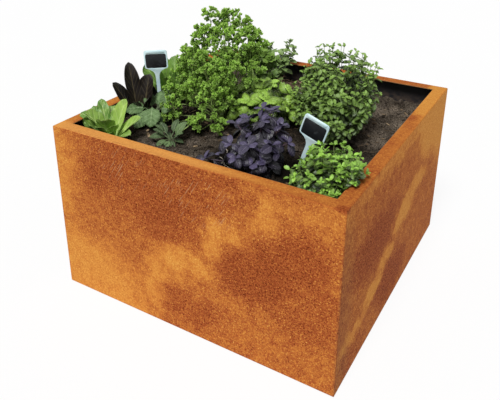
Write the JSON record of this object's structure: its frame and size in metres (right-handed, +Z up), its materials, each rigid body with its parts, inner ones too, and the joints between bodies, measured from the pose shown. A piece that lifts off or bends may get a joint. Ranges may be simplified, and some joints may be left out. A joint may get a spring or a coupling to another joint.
{
  "type": "corten steel planter",
  "caption": "Square weathering-steel garden planter with folded rim, bolted corners, base tray and liner, planted with herbs and plant labels.",
  "frame": {"origin": "middle of the planter's square outline, on the ground", "axes": "+Z up, +X towards the right panel, -Y towards the front panel"},
  "size_m": [0.8, 0.8, 0.7423],
  "materials": {
    "corten": "matte orange-brown rust patina of weathering steel",
    "zinc": "satin zinc plate",
    "liner_black": "matte black moulded plastic",
    "potting_soil": "matte dark peat and bark potting mix",
    "pale_leaf": "satin yellow-green leaf",
    "green_leaf": "satin green leaf",
    "grey_leaf": "matte grey-green leaf",
    "purple_leaf": "satin dark purple leaf",
    "red_leaf": "satin dark red-brown leaf",
    "label_mint": "satin pale mint plastic",
    "label_slate": "matte black writing panel"
  },
  "bodies": {
    "planter_body": {"front_panel": "corten", "right_panel": "corten", "back_panel": "corten", "left_panel": "corten", "base_tray": "corten", "base_channel_1": "corten", "base_channel_2": "corten", "front_right_bolt_1": "zinc", "front_right_bolt_2": "zinc", "front_right_bolt_3": "zinc", "back_right_bolt_1": "zinc", "back_right_bolt_2": "zinc", "back_right_bolt_3": "zinc", "back_left_bolt_1": "zinc", "back_left_bolt_2": "zinc", "back_left_bolt_3": "zinc", "front_left_bolt_1": "zinc", "front_left_bolt_2": "zinc", "front_left_bolt_3": "zinc", "front_right_nut_1": "zinc", "front_right_nut_2": "zinc", "front_right_nut_3": "zinc", "back_right_nut_1": "zinc", "back_right_nut_2": "zinc", "back_right_nut_3": "zinc", "back_left_nut_1": "zinc", "back_left_nut_2": "zinc", "back_left_nut_3": "zinc", "front_left_nut_1": "zinc", "front_left_nut_2": "zinc", "front_left_nut_3": "zinc", "liner": "liner_black", "soil": "potting_soil", "butterhead_lettuce": "pale_leaf", "sweet_basil": "pale_leaf", "marjoram": "pale_leaf", "green_romaine": "green_leaf", "curly_parsley": "green_leaf", "flat_parsley": "green_leaf", "back_herb": "green_leaf", "oregano": "green_leaf", "lemon_balm": "grey_leaf", "herb_seedling": "grey_leaf", "purple_basil": "purple_leaf", "red_romaine": "red_leaf"},
    "left_label_body": {"left_label": "label_mint", "left_label_panel": "label_slate"},
    "right_label_body": {"right_label": "label_mint", "right_label_panel": "label_slate"}
  },
  "joints": [
    {"name": "left_label_pull", "type": "slide", "parent": "planter_body", "child": "left_label_body", "axis": [-0.0453, -0.0262, 0.9986], "range_m": [0, 0.12]},
    {"name": "right_label_pull", "type": "slide", "parent": "planter_body", "child": "right_label_body", "axis": [0.3083, -0.0216, 0.9511], "range_m": [0, 0.12]}
  ]
}
